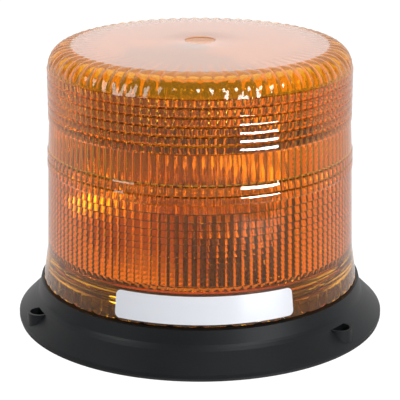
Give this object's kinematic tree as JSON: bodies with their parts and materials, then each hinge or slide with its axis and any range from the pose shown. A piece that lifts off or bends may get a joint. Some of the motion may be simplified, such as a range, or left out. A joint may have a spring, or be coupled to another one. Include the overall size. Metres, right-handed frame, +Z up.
{
  "type": "rotating warning beacon",
  "caption": "Round amber warning beacon with a screw-on ribbed lens, a flanged black base and a motor-driven reflector turning about a lamp.",
  "frame": {"origin": "centre of the underside of the mounting gasket", "axes": "+Z up along the lamp and lens axis, -Y towards the blank label, +X to the right seen from the front"},
  "size_m": [0.184, 0.184, 0.1401],
  "materials": {
    "black_housing": "satin moulded black",
    "gasket_rubber": "matt rubber",
    "zinc_sheet": "zinc-plated sheet",
    "screw_steel": "plated screws and wire",
    "black_moulding": "black inner moulding",
    "motor_steel": "drawn steel can",
    "post_metal": "turned aluminium",
    "white_acetal": "natural acetal",
    "socket_moulding": "heat-resistant moulding",
    "lamp_brass": "nickelled brass",
    "lamp_glass": "clear glass",
    "board_green": "green board",
    "lead_insulation": "insulated lead",
    "amber_lens": "clear amber polycarbonate",
    "blank_label": "blank white film",
    "mirror_metal": "metallised bowl"
  },
  "bodies": {
    "base": {"base_housing": "black_housing", "mount_gasket": "gasket_rubber", "bottom_cover": "zinc_sheet", "cover_screws": "screw_steel", "cable_grommet": "gasket_rubber", "deck_plate": "black_moulding", "deck_screws": "screw_steel", "motor_case": "motor_steel", "motor_screws": "screw_steel", "centre_post": "post_metal", "thrust_washer": "white_acetal", "retaining_ring": "screw_steel", "lamp_socket": "socket_moulding", "lamp_base": "lamp_brass", "lamp_glass": "lamp_glass", "lamp_filament": "screw_steel", "circuit_board": "board_green", "board_screws": "screw_steel", "filter_capacitor": "black_moulding", "terminal_block": "socket_moulding", "lamp_leads": "lead_insulation", "motor_leads": "lead_insulation"},
    "seal": {"lens_seal": "gasket_rubber"},
    "lens_cap": {"lens": "amber_lens", "lens_label": "blank_label"},
    "rotor": {"drive_gear": "white_acetal", "hub_bush": "lamp_brass", "reflector": "mirror_metal", "reflector_cradle": "black_moulding", "cradle_screws": "screw_steel", "reflector_screws": "screw_steel"},
    "pinion": {"motor_shaft": "screw_steel", "pinion_gear": "lamp_brass"}
  },
  "joints": [
    {"name": "reflector_spin", "type": "hinge", "parent": "base", "child": "rotor", "pos_m": [0, 0, 0.034], "axis": [0, 0, 1], "continuous": true},
    {"name": "pinion_spin", "type": "hinge", "parent": "base", "child": "pinion", "pos_m": [0, 0.0375, 0.032], "axis": [0, 0, 1], "continuous": true},
    {"name": "lens_turn", "type": "hinge", "parent": "base", "child": "seal", "pos_m": [0, 0, 0.0266], "axis": [0, 0, 1], "range_deg": [0, 720]},
    {"name": "lens_lift", "type": "slide", "parent": "seal", "child": "lens_cap", "axis": [0, 0, 1], "range_m": [0, 0.00805]}
  ],
  "couplings": [
    {"joint": "pinion_spin", "follows": "reflector_spin", "ratio": -4},
    {"joint": "lens_lift", "follows": "lens_turn", "m_per_rad": 0.00063662}
  ]
}
